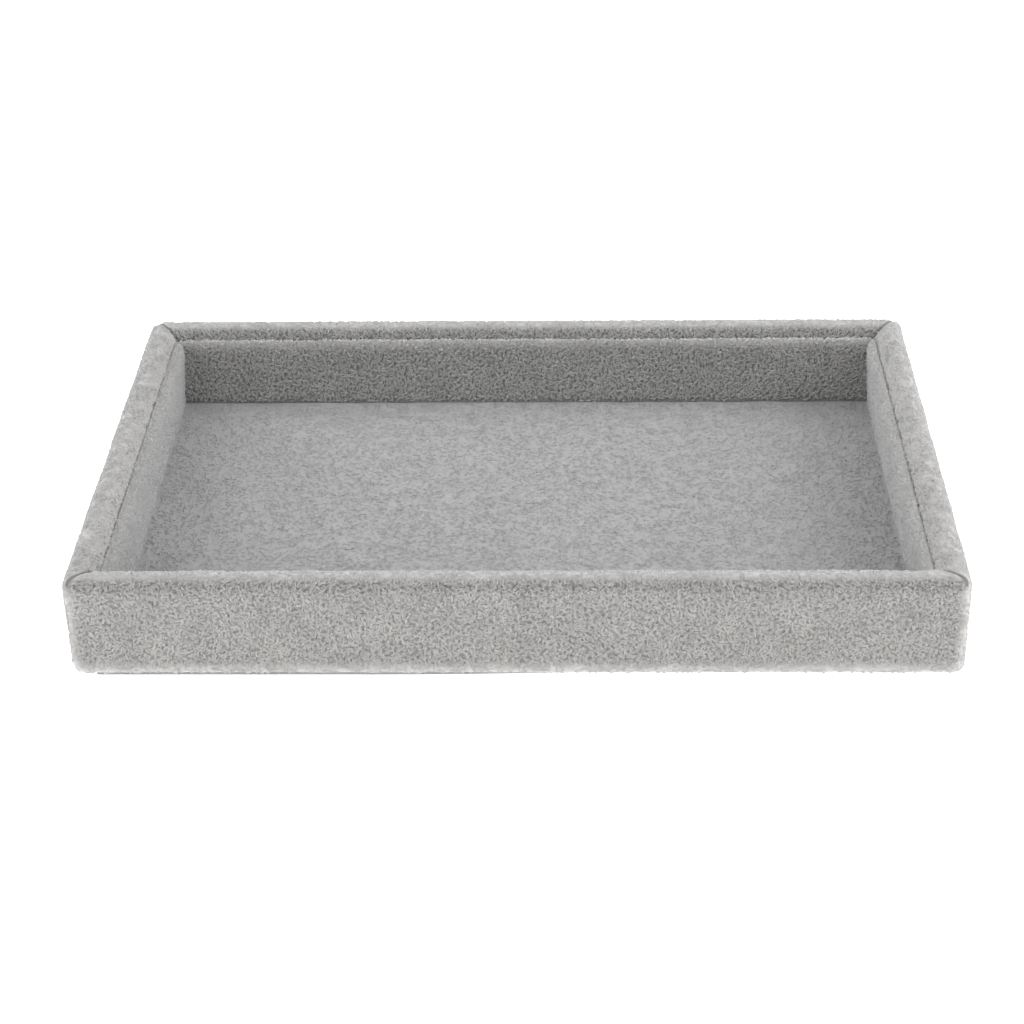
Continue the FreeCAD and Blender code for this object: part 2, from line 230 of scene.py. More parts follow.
@dataclass(frozen=True)
class TraySizes:
    """Sizes of the tray that several pieces share."""

    half_length: float
    half_depth: float
    top: float
    under: float
    plush: float
    rail: float
    rail_top: float
    rail_bottom: float
    base_bottom: float
    corner: float = 4.6 * MM
    rim_round: float = 4.2 * MM
    rim_inner_round: float = 6.2 * MM
    under_round: float = 3.0 * MM
    hem: float = 12.0 * MM
    pressed: float = 0.4 * MM
    mitre_drop: float = 3.0 * MM

    @classmethod
    def of_frame(cls) -> "TraySizes":
        """Reads the sizes from the boxes of the frame's nodes."""
        wrap_low, wrap_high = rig.box("outer_wrap")
        rail_low, rail_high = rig.box("front_rail")
        base_low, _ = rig.box("base_board")
        return cls(
            half_length=wrap_high.x,
            half_depth=wrap_high.y,
            top=wrap_high.z,
            under=wrap_low.z,
            plush=rail_low.y - wrap_low.y,
            rail=rail_high.y - rail_low.y,
            rail_top=rail_high.z,
            rail_bottom=rail_low.z,
            base_bottom=base_low.z,
        )

    @property
    def well(self) -> float:
        """Inset of the wrap's inner face from the outside."""
        return self.rail + 2 * self.plush

    def half_along(self, side: Side) -> float:
        """Half the tray's size along a side."""
        return self.half_length if side.is_long else self.half_depth

    def half_across(self, side: Side) -> float:
        """Distance of a side's outer face from the tray's middle."""
        return self.half_depth if side.is_long else self.half_length


class Shader:
    """The nodes of a new material or world and the short calls that fill them."""

    # Where a Mix node keeps its colours among its sockets.
    MIX_LOW, MIX_HIGH, MIX_RESULT = 6, 7, 2

    def __init__(self, owner: bpy.types.Material | bpy.types.World) -> None:
        self.owner = owner
        owner.use_nodes = True
        self.tree = owner.node_tree
        self.tree.nodes.clear()
        self.ways = self.node("ShaderNodeTexCoord").outputs

    def node(self, kind: str, settings: dict | None = None, **inputs) -> bpy.types.Node:
        """Adds a node.

        Args:
            kind: the node's type.
            settings: values of the node's own properties.
            inputs: values or linked sockets for its inputs, with spaces as underscores.

        Returns:
            The new node.
        """
        made = self.tree.nodes.new(kind)
        for key, value in (settings or {}).items():
            setattr(made, key, value)
        for key, value in inputs.items():
            self.give(made.inputs[key.replace("_", " ")], value)
        return made

    def give(self, socket: bpy.types.NodeSocket, value) -> None:
        """Links a socket to another one, or sets its value."""
        if isinstance(value, bpy.types.NodeSocket):
            self.tree.links.new(value, socket)
        else:
            socket.default_value = value

    def noise(self, period: float, detail: float = 2.0, roughness: float = 0.5) -> bpy.types.NodeSocket:
        """Noise fixed to the object, whose lumps are about a period apart."""
        made = self.node(
            "ShaderNodeTexNoise",
            Vector=self.ways["Object"],
            Scale=1 / period,
            Detail=detail,
            Roughness=roughness,
        )
        return made.outputs["Fac"]

    def spread(self, value, low: float, high: float, to_low: float, to_high: float) -> bpy.types.NodeSocket:
        """Maps a value smoothly from one range to another."""
        return self.node(
            "ShaderNodeMapRange",
            {"interpolation_type": "SMOOTHSTEP"},
            Value=value,
            From_Min=low,
            From_Max=high,
            To_Min=to_low,
            To_Max=to_high,
        ).outputs["Result"]

    def number(self, operation: str, *values) -> bpy.types.NodeSocket:
        """Works out a number from one or two others."""
        made = self.node("ShaderNodeMath", {"operation": operation})
        for socket, value in zip(made.inputs, values):
            self.give(socket, value)
        return made.outputs[0]

    def blend(self, share, low: tuple, high: tuple) -> bpy.types.NodeSocket:
        """Mixes two colours by a share."""
        mixed = self.node("ShaderNodeMix", {"data_type": "RGBA"})
        self.give(mixed.inputs["Factor"], share)
        mixed.inputs[self.MIX_LOW].default_value = (*low, 1.0)
        mixed.inputs[self.MIX_HIGH].default_value = (*high, 1.0)
        return mixed.outputs[self.MIX_RESULT]

    def scaled(self, colour, factor) -> bpy.types.NodeSocket:
        """A colour times a number."""
        made = self.node("ShaderNodeVectorMath", {"operation": "SCALE"})
        self.give(made.inputs[0], colour)
        self.give(made.inputs["Scale"], factor)
        return made.outputs[0]

    def finish(self, colour, **inputs) -> bpy.types.Material:
        """Ends the tree in one surface shader and returns the material."""
        surface = self.node("ShaderNodeBsdfPrincipled", None, Base_Color=colour, **inputs)
        self.node("ShaderNodeOutputMaterial", None, Surface=surface.outputs["BSDF"])
        return self.owner


@dataclass(frozen=True)
class PlushFinish:
    """Short grey pile: pale tips, darker gaps that are painted shade between the tufts, a soft sheen and faint patches
    where the pile lies another way.

    The tone of the pile runs from its darkest value in the gaps, which is painted shade, to its palest at the tips.
    """

    name: str = "grey_plush"
    tip: tuple[float, float, float] = (0.568, 0.562, 0.554)
    gap: tuple[float, float, float] = (0.17, 0.167, 0.164)
    patch: float = 0.05
    patch_size: float = 14 * MM
    fibre: float = 0.45 * MM
    fibre_depth: float = 0.1 * MM
    grain: float = 0.07
    darkest: float = -1.7
    palest: float = 1.0
    sheen: float = 1.0

    def material(self) -> bpy.types.Material:
        """Makes the finish as a material."""
        shader = Shader(bpy.data.materials.new(self.name))
        tuft = shader.node("ShaderNodeAttribute", {"attribute_name": PILE}).outputs["Fac"]
        fibre = shader.noise(self.fibre, 2.0, 0.6)
        patch = shader.noise(self.patch_size, 3.0)
        patches = shader.spread(patch, *COARSE_NOISE, 1 - self.patch, 1 + self.patch)
        grain = shader.spread(fibre, *FINE_NOISE, 1 - self.grain, 1 + self.grain)
        height = shader.spread(tuft, self.darkest, self.palest, 0.0, 1.0)
        # The gap colour is painted shade between the tufts.
        colour = shader.blend(height, self.gap, self.tip)
        colour = shader.scaled(colour, shader.number("MULTIPLY", patches, grain))
        bump = shader.node("ShaderNodeBump", Strength=0.7, Distance=self.fibre_depth, Height=fibre)
        return shader.finish(
            colour,
            Roughness=0.95,
            Specular_IOR_Level=0.12,
            Sheen_Weight=self.sheen,
            Sheen_Roughness=0.45,
            Sheen_Tint=(0.95, 0.95, 0.96, 1.0),
            Normal=bump.outputs["Normal"],
        )


@dataclass(frozen=True)
class PlainFinish:
    """A matte or metal surface with a fine grain in two tones."""

    name: str
    low: tuple[float, float, float]
    high: tuple[float, float, float]
    grain: float
    depth: float
    roughness: float = 0.8
    metallic: float = 0.0

    def material(self) -> bpy.types.Material:
        """Makes the finish as a material."""
        shader = Shader(bpy.data.materials.new(self.name))
        grain = shader.noise(self.grain, 4.0, 0.65)
        colour = shader.blend(shader.spread(grain, *COARSE_NOISE, 0.0, 1.0), self.low, self.high)
        bump = shader.node("ShaderNodeBump", Strength=0.6, Distance=self.depth, Height=grain)
        return shader.finish(
            colour, Roughness=self.roughness, Metallic=self.metallic, Normal=bump.outputs["Normal"]
        )


FELT = PlainFinish("under_felt", (0.045, 0.045, 0.05), (0.095, 0.095, 0.1), 0.5 * MM, 0.15 * MM, 0.95)
RAIL_WOOD = PlainFinish("rail_wood", (0.44, 0.31, 0.19), (0.62, 0.46, 0.31), 0.8 * MM, 0.05 * MM)
HARDBOARD = PlainFinish("base_hardboard", (0.24, 0.14, 0.075), (0.38, 0.24, 0.14), 0.6 * MM, 0.04 * MM, 0.6)
CARD = PlainFinish("grey_card", (0.36, 0.34, 0.31), (0.47, 0.45, 0.42), 0.7 * MM, 0.02 * MM)
STEEL = PlainFinish("brad_steel", (0.5, 0.5, 0.52), (0.62, 0.62, 0.64), 0.3 * MM, 0.01 * MM, 0.35, 1.0)


@dataclass
class WaveField:
    """A seeded field over the flat cloth: plane waves in all directions, with lengths close to one period."""

    seed: int
    period: float
    spread: float = 0.22
    waves: int = 72

    def __post_init__(self) -> None:
        chance = np.random.default_rng(self.seed)
        turn = chance.uniform(0, 2 * math.pi, self.waves)
        number = 2 * math.pi / (self.period * np.exp(chance.normal(0, self.spread, self.waves)))
        self.along, self.across = number * np.cos(turn), number * np.sin(turn)
        self.phase = chance.uniform(0, 2 * math.pi, self.waves)

    def at(self, u: np.ndarray, v: np.ndarray) -> np.ndarray:
        """The field at flat places, with a mean of nought and a spread of one."""
        total = np.zeros_like(u)
        for along, across, phase in zip(self.along, self.across, self.phase):
            total += np.cos(along * u + across * v + phase)
        return total * math.sqrt(2 / self.waves)


@dataclass
class Pile:
    """How a cloth's pile stands: blunt curls, uneven in patches, on a backing that swells slightly."""

    seed: int
    tuft: float = 1.85 * MM
    relief: float = 0.05 * MM
    blunt: float = 0.75
    patch_size: float = 9 * MM
    uneven: float = 0.25
    swell_size: float = 22 * MM
    swell: float = 0.08 * MM

    def __post_init__(self) -> None:
        self.tufts = WaveField(self.seed, self.tuft)
        self.patches = WaveField(self.seed + 1, self.patch_size, spread=0.4, waves=24)
        self.swells = WaveField(self.seed + 2, self.swell_size, spread=0.3, waves=24)

    def stand(self, u: np.ndarray, v: np.ndarray) -> tuple[np.ndarray, np.ndarray]:
        """The pile at flat places.

        Args:
            u: places along the cloth.
            v: places across it.

        Returns:
            The height over the cloth's mean surface, and the curls, from low in the gaps to high on top.
        """
        curls = self.tufts.at(u, v)
        curls = np.where(curls > 0, self.blunt * curls, curls)
        curls = curls * (1 + self.uneven * np.tanh(self.patches.at(u, v)))
        return self.relief * curls + self.swell * self.swells.at(u, v), curls


class SectionPath:
    """A cloth's cross-section, drawn in steps with the outside on the left hand, as insets and heights.

    Each stretch has a share of the full pile, and no more than the sunk share of the pile's depth.
    """

    def __init__(self, inset: float, height: float) -> None:
        self.points = [(inset, height)]
        self.piled = [(0.0, 0.0)]

    def add(self, inset: float, height: float, share: float, sunk: float) -> None:
        """Adds a place with its shares of the pile and of its depth."""
        self.points.append((inset, height))
        self.piled.append((share, min(share, sunk)))

    def line(self, inset: float, height: float, step: float, share: float = 0.0, sunk: float = 1.0) -> None:
        """Goes straight on to a place, in even steps."""
        x, z = self.points[-1]
        count = max(1, round(math.hypot(inset - x, height - z) / step))
        for i in range(1, count + 1):
            self.add(x + (inset - x) * i / count, z + (height - z) * i / count, share, sunk)

    def arc(
        self, inset: float, height: float, turn: float, step: float, share: float = 0.0, sunk: float = 1.0
    ) -> None:
        """Turns about a centre by an angle in degrees, clockwise for less than nought."""
        x, z = self.points[-1][0] - inset, self.points[-1][1] - height
        angle = math.radians(turn)
        count = max(2, round(abs(angle) * math.hypot(x, z) / step))
        for i in range(1, count + 1):
            c, s = math.cos(angle * i / count), math.sin(angle * i / count)
            self.add(inset + c * x - s * z, height + s * x + c * z, share, sunk)

    def shoulder(self, inset: float, height: float, step: float, share: float, sunk: float = 1.0) -> None:
        """Turns down over a quarter of an ellipse, from level to upright, to a place."""
        x, z = self.points[-1]
        across, down = inset - x, z - height
        count = max(3, round(math.hypot(across, down) / step))
        for angle in np.linspace(0, math.pi / 2, count + 1)[1:]:
            self.add(x + across * math.sin(angle), height + down * math.cos(angle), share, sunk)

    def close(self) -> "Section":
        """Ends the path where it began."""
        self.add(*self.points[0], share=0.0, sunk=0.0)
        return Section(np.array(self.points), np.array(self.piled).T)


class Section:
    """The closed section of a folded strip, which any run along the cloth can be looked up in."""

    def __init__(self, points: np.ndarray, piled: np.ndarray) -> None:
        steps = np.diff(points, axis=0)
        lengths = np.hypot(*steps.T)
        self.run = np.concatenate([[0.0], np.cumsum(lengths)])
        units = steps / lengths[:, None]
        tangent = units[np.arange(-1, len(units))] + units[np.arange(len(units) + 1) % len(units)]
        tangent /= np.maximum(np.hypot(*tangent.T), TINY)[:, None]
        self.share, depth = (self.blended(row) for row in piled)
        self.rows = np.stack([*points.T, -tangent[:, 1], tangent[:, 0], self.share, depth])

    @staticmethod
    def blended(row: np.ndarray) -> np.ndarray:
        """Blends shares from stretch to stretch, and leaves the bare stretches bare."""
        kernel = np.array([1, 2, 3, 2, 1]) / 9
        return np.where(row > 0, np.convolve(np.pad(row, 2, "edge"), kernel, "valid"), 0)

    def at(self, run: np.ndarray) -> list[np.ndarray]:
        """Looks runs up.

        Args:
            run: distances along the section from its start.

        Returns:
            Inset, height, the outward normal's inward and upward parts, and the pile's share and its depth's.
        """
        return [np.interp(run, self.run, values) for values in self.rows]

    @property
    def show(self) -> tuple[float, float]:
        """Where the side that shows its pile begins and ends."""
        piled = self.run[self.share >= SHOWN_SHARE]
        return float(piled[0]), float(piled[-1])


@dataclass
class Spots:
    """Places on a cloth, one in each row.

    Each has the way it faces, the height of the ridge that its curls run along, its share of the pile, its
    tone, and whether a tuft may stand there.
    """

    place: np.ndarray
    facing: np.ndarray
    ridge: np.ndarray
    share: np.ndarray
    tone: np.ndarray
    keep: np.ndarray

    def only(self, kept: np.ndarray) -> "Spots":
        """The places that a mask keeps."""
        return Spots(*(getattr(self, part.name)[kept] for part in fields(self)))


def standing(share: np.ndarray, least: float = 0.0) -> np.ndarray:
    """How far the pile stands: not at all where half of it or less is left, and fully where all of it is."""
    return np.clip(2 * share - 1, least, 1)


def opened(share: np.ndarray) -> np.ndarray:
    """Painted shade at bends, folds and feet: how far the pile has more than its full share there."""
    return np.maximum(share - 1, 0)


def gap_tone(ridge: np.ndarray, share: np.ndarray) -> np.ndarray:
    """The tone of the cloth between its tufts: pale where the pile is pressed flat, and dark where it stands, which is
    painted shade between the tufts.
    """
    return RIDGE_TONE * ridge * share + PRESSED_TONE - STANDING_SHADE * standing(share) - opened(share)


class ClothShape(ABC):
    """The surface of a piece of cloth over its flat cut, both of whose axes go from 0 to 1."""

    @abstractmethod
    def spots(self, flat: np.ndarray) -> Spots:
        """The places on the cloth for places on its flat cut, one in each row."""

    @abstractmethod
    def show(self) -> tuple[np.ndarray, np.ndarray]:
        """The lowest and highest places on the flat cut that show."""

    @abstractmethod
    def size(self) -> tuple[float, float]:
        """Length and width of the flat cut, both faces of it."""


@dataclass
class LaidTufts:
    """Where tufts lie on a cloth: roots, waists and tips on its flat cut, and what the cloth is like there.

    The last value is the step across each tuft on the flat cut, as wide as the tuft is long.
    """

    flat: list[np.ndarray]
    spots: list[Spots]
    across: np.ndarray


@dataclass(frozen=True)
class Tufts:
    """Tufts of pile, each a slim bent spindle that lies along the curls with its root sunk and its tip free.

    The tones are those of the cloth's finish. Roots are darker than waists, which is painted shade, and tips paler,
    which is painted light.
    """

    seed: int
    density: float = 1.9 / MM**2
    length: float = 2.4 * MM
    length_range: tuple[float, float] = (0.6, 1.3)
    radius: float = 0.46 * MM
    radius_range: tuple[float, float] = (0.75, 1.2)
    rise: float = 0.28 * MM
    rise_range: tuple[float, float] = (0.2, 1.0)
    bend: float = 0.2
    stray: float = 0.35
    kept: float = 0.75
    kept_least: float = 0.1
    clumped: float = 0.6
    probe: float = 0.1 * MM
    root_end: float = -0.45
    tip_end: float = 0.55
    tip_lift: float = 1.4
    sunk: float = 0.2 * MM
    lowest: float = 0.05 * MM
    tone: float = 0.2
    tone_spread: float = 0.3
    tip_tone: float = 0.3
    fade: float = 0.7
    least_standing: float = 0.25
    opening: float = 0.9
    settle: float = 0.45
    map_width: float = 0.2

    def spindle(self) -> bpy.types.Mesh:
        """One tuft: a cone on three sides whose base is drawn out to a root."""
        bm = bmesh.new()
        bmesh.ops.create_cone(bm, cap_ends=True, segments=3, radius1=1.0, radius2=0.0, depth=1.0)
        bmesh.ops.remove_doubles(bm, verts=bm.verts[:], dist=1e-6)
        base = min(bm.faces, key=lambda f: f.calc_center_median().z)
        root = bmesh.ops.poke(bm, faces=[base])["verts"][0]
        root.co.z -= 1.0
        for face in bm.faces:
            face.smooth = True
        bmesh.ops.recalc_face_normals(bm, faces=bm.faces[:])
        mesh = bpy.data.meshes.new("tuft")
        bm.to_mesh(mesh)
        bm.free()
        return mesh

    def copies(self, name: str, count: int) -> bpy.types.Object:
        """An object with a number of copies of the tuft in one mesh."""
        seedling = bpy.data.objects.new("seedling", self.spindle())
        bpy.context.scene.collection.objects.link(seedling)
        array = seedling.modifiers.new("copies", "ARRAY")
        array.count = count
        array.use_relative_offset = False
        array.use_constant_offset = True
        array.constant_offset_displace = (0.0, 0.0, 0.0)
        array.use_merge_vertices = False
        grown = seedling.evaluated_get(bpy.context.evaluated_depsgraph_get())
        mesh = bpy.data.meshes.new_from_object(grown)
        mesh.name = name
        bpy.data.objects.remove(seedling)
        piece = bpy.data.objects.new(name, mesh)
        bpy.context.scene.collection.objects.link(piece)
        return piece

    def lay(self, shape: ClothShape, chance: np.random.Generator) -> LaidTufts:
        """Lays tufts on a cloth, along its curls and more of them on top of the curls.

        Args:
            shape: the cloth they stand on.
            chance: the source of random numbers.

        Returns:
            The tufts that are kept.
        """
        low, high = shape.show()
        size = np.array(shape.size())
        counts = np.rint((high - low) * size * math.sqrt(self.density)).astype(int)
        cells = np.stack(np.meshgrid(*map(np.arange, counts), indexing="ij"), axis=-1).reshape(-1, 2)
        middle = low + (high - low) * (cells + chance.random(cells.shape)) / counts
        here = shape.spots(middle).ridge
        probes = [np.clip(middle + step, 0, 1) for step in np.diag(self.probe / size)]
        slope = [shape.spots(probe).ridge - here for probe in probes]
        way = np.arctan2(slope[1], slope[0]) + math.pi * (chance.integers(0, 2, len(middle)) + 0.5)
        way += self.stray * chance.normal(size=len(middle))
        length = self.length * chance.uniform(*self.length_range, (len(middle), 1))
        ahead = np.stack([np.cos(way), np.sin(way)], axis=1)
        aside = np.stack([-ahead[:, 1], ahead[:, 0]], axis=1)
        bend = self.bend * chance.normal(size=(len(middle), 1))
        steps = (self.root_end * ahead, bend * aside, self.tip_end * ahead)
        flat = [np.clip(middle + step * length / size, 0, 1) for step in steps]
        root, waist, tip = (shape.spots(places) for places in flat)
        wanted = waist.share * np.clip(self.kept + self.clumped * here, self.kept_least, 1)
        kept = root.keep & waist.keep & tip.keep & (chance.random(len(middle)) < wanted)
        return LaidTufts(
            [places[kept] for places in flat],
            [spots.only(kept) for spots in (root, waist, tip)],
            (length / size * aside)[kept],
        )

    def stand_up(self, mesh: bpy.types.Mesh, laid: LaidTufts, chance: np.random.Generator) -> None:
        """Moves the copies of the tuft in a mesh to where the tufts lie, and bends and tones each.

        Args:
            mesh: the copies.
            laid: where the tufts lie.
            chance: the source of random numbers.
        """
        root, waist, tip = laid.spots
        count, facing = len(waist.share), waist.facing
        rise = self.rise * chance.uniform(*self.rise_range, (count, 1)) * waist.share[:, None]
        radius = self.radius * chance.uniform(*self.radius_range, (count, 1))
        low_end = root.place - self.sunk * root.facing
        far_end = tip.place + self.tip_lift * rise * tip.facing
        centre = waist.place + rise * facing
        side = np.cross(facing, far_end - low_end)
        side /= np.maximum(np.linalg.norm(side, axis=1, keepdims=True), TINY)
        stands = standing(waist.share, self.least_standing)
        shade = self.tone + self.tone_spread * stands * chance.normal(size=count)
        # Tufts in bends, folds and feet with more than their full share are painted darker, as shade.
        shade -= self.opening * opened(waist.share)

        copies = np.zeros(len(mesh.vertices) * 3)
        mesh.vertices.foreach_get("co", copies)
        spindle = copies.reshape(count, -1, 3)[0]
        order = np.argsort(spindle[:, 2])
        points = np.zeros((count, len(spindle), 3))
        normals, corners = np.zeros_like(points), np.zeros((count, len(spindle), 2))
        tone = np.zeros((count, len(spindle)))
        for vert in range(len(spindle)):
            if vert == order[0]:
                # The roots are painted darker, as shade among the tufts, and the tips paler, as light.
                parts = low_end, facing, laid.flat[0], shade - self.fade * stands
            elif vert == order[-1]:
                parts = far_end, facing, laid.flat[2], shade + self.tip_tone
            else:
                turn = math.atan2(spindle[vert, 1], spindle[vert, 0])
                spoke = math.cos(turn) * side + math.sin(turn) * facing
                normal = self.settle * facing + (1 - self.settle) * spoke
                corner = laid.flat[1] + self.map_width * math.cos(turn) * laid.across
                parts = centre + radius * spoke, normal, corner, shade
            points[:, vert], normals[:, vert], corners[:, vert], tone[:, vert] = parts
        points[:, :, 2] = np.maximum(points[:, :, 2], self.lowest)
        normals /= np.linalg.norm(normals, axis=2, keepdims=True)

        mesh.vertices.foreach_set("co", points.ravel())
        tones = mesh.attributes.new(PILE, "FLOAT", "POINT").data
        tones.foreach_set("value", tone.astype(np.float32).ravel())
        loops = np.zeros(len(mesh.loops), np.int32)
        mesh.loops.foreach_get("vertex_index", loops)
        flat_map = np.clip(corners, 0, 1).reshape(-1, 2)[loops]
        mesh.uv_layers.new(name=CLOTH_MAP).data.foreach_set("uv", flat_map.ravel())
        mesh.normals_split_custom_set_from_vertices(normals.reshape(-1, 3).tolist())

    def grow(self, name: str, shape: ClothShape, material: bpy.types.Material) -> bpy.types.Object:
        """Grows the tufts of one cloth as one piece.

        Args:
            name: the piece's name.
            shape: the cloth they stand on.
            material: their finish.

        Returns:
            The new object.
        """
        chance = np.random.default_rng(self.seed)
        laid = self.lay(shape, chance)
        count = len(laid.across)
        piece = self.copies(name, count)
        self.stand_up(piece.data, laid, chance)
        piece.data.materials.append(material)
        piece.data.update()
        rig.ride(piece, BODY)
        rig.slot(piece, "grey_plush")
        LOG.info("%s: %d tufts", name, count)
        return piece


FUZZ = Tufts(
    seed=600,
    density=1.6 / MM**2,
    length=1.1 * MM,
    radius=0.05 * MM,
    rise=0.65 * MM,
    tone=0.5,
    tone_spread=0.2,
    fade=0.3,
    opening=0.0,
    stray=3.0,
    clumped=0.0,
)
FLOOR_TUFTS = Tufts(
    seed=500,
    density=1.0 / MM**2,
    length=1.9 * MM,
    radius=0.28 * MM,
    rise=0.28 * MM,
    tone=0.52,
    tone_spread=0.22,
    fade=0.2,
    settle=0.65,
    stray=0.6,
)


@dataclass
class Cloth:
    """What all cloth pieces share: a name, the node they stand for, a slot and how they are declared."""

    name: str
    node: str
    slot: str
    rests_on: list[str]
    flat: tuple[float, float]
    material: bpy.types.Material
    pile_pieces: list[bpy.types.Object] = field(default_factory=list)

    def enter(self, bm: bmesh.types.BMesh) -> bpy.types.Object:
        """Makes the piece from its mesh, finishes it and gives it its place on the tray.

        Args:
            bm: the finished mesh, which is freed.

        Returns:
            The new object.
        """
        bmesh.ops.recalc_face_normals(bm, faces=bm.faces[:])
        mesh = bpy.data.meshes.new(self.name)
        bm.to_mesh(mesh)
        bm.free()
        mesh.materials.append(self.material)
        piece = bpy.data.objects.new(self.name, mesh)
        bpy.context.scene.collection.objects.link(piece)
        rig.ride(piece, BODY)
        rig.replaces(piece, self.node)
        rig.slot(piece, self.slot)
        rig.sheet(
            piece, flat=self.flat, held="stretched", rests_on=self.rests_on, with_pieces=self.pile_pieces
        )
        LOG.info("%s: %d faces", self.name, len(mesh.polygons))
        return piece


class Strip(ClothShape):
    """A strip of plush folded to a closed section along one side of the tray."""

    side: Side
    section: Section
    step: float

    @property
    @abstractmethod
    def half(self) -> float:
        """Half the strip's length."""

    def size(self) -> tuple[float, float]:
        """Length and width of the flat cut, both faces of it."""
        return 2 * self.half, float(self.section.run[-1])

    def show(self) -> tuple[np.ndarray, np.ndarray]:
        """The lowest and highest places on the flat cut that show."""
        low, high = (run / self.section.run[-1] for run in self.section.show)
        return np.array([0.0, low]), np.array([1.0, high])

    def folded(self) -> bmesh.types.BMesh:
        """Folds a flat grid of cloth to the section and closes it."""
        bm = bmesh.new()
        bm.loops.layers.uv.new(CLOTH_MAP)
        pile = bm.verts.layers.float.new(PILE)
        rows = len(self.section.run) - 1
        bmesh.ops.create_grid(
            bm, x_segments=round(2 * self.half / self.step), y_segments=rows, size=0.5, calc_uvs=True
        )
        flat = np.array([(v.co.x, v.co.y) for v in bm.verts]) + 0.5
        row = np.rint(flat[:, 1] * rows).astype(int)
        flat[:, 1] = self.section.run[row] / self.section.run[-1]
        spots = self.spots(flat)
        for vert, place, value in zip(bm.verts, spots.place.tolist(), spots.tone.tolist()):
            vert.co = place
            vert[pile] = value
        for face in bm.faces:
            face.smooth = True
        seam = [v for v, r in zip(bm.verts, row) if r in (0, rows)]
        bmesh.ops.remove_doubles(bm, verts=seam, dist=1e-7)
        ends = [e for e in bm.edges if e.is_boundary]
        for edge in ends:
            edge.smooth = False
        bmesh.ops.holes_fill(bm, edges=ends, sides=0)
        return bm


@dataclass(frozen=True)
class RimPile:
    """Shares of pile on the outer bend, the crown and the inner bend of a rim, and in the fold at the liner. A share
    above one paints shade there.

    The sunk share is that of the pile's depth in the fold.
    """

    bend_out: float
    crown: float
    bend_in: float
    fold: float
    sunk: float


LONG_RIM = RimPile(bend_out=1.4, crown=0.5, bend_in=1.4, fold=1.4, sunk=1.0)
SHORT_RIM = RimPile(bend_out=0.8, crown=0.68, bend_in=0.85, fold=0.62, sunk=0.0)


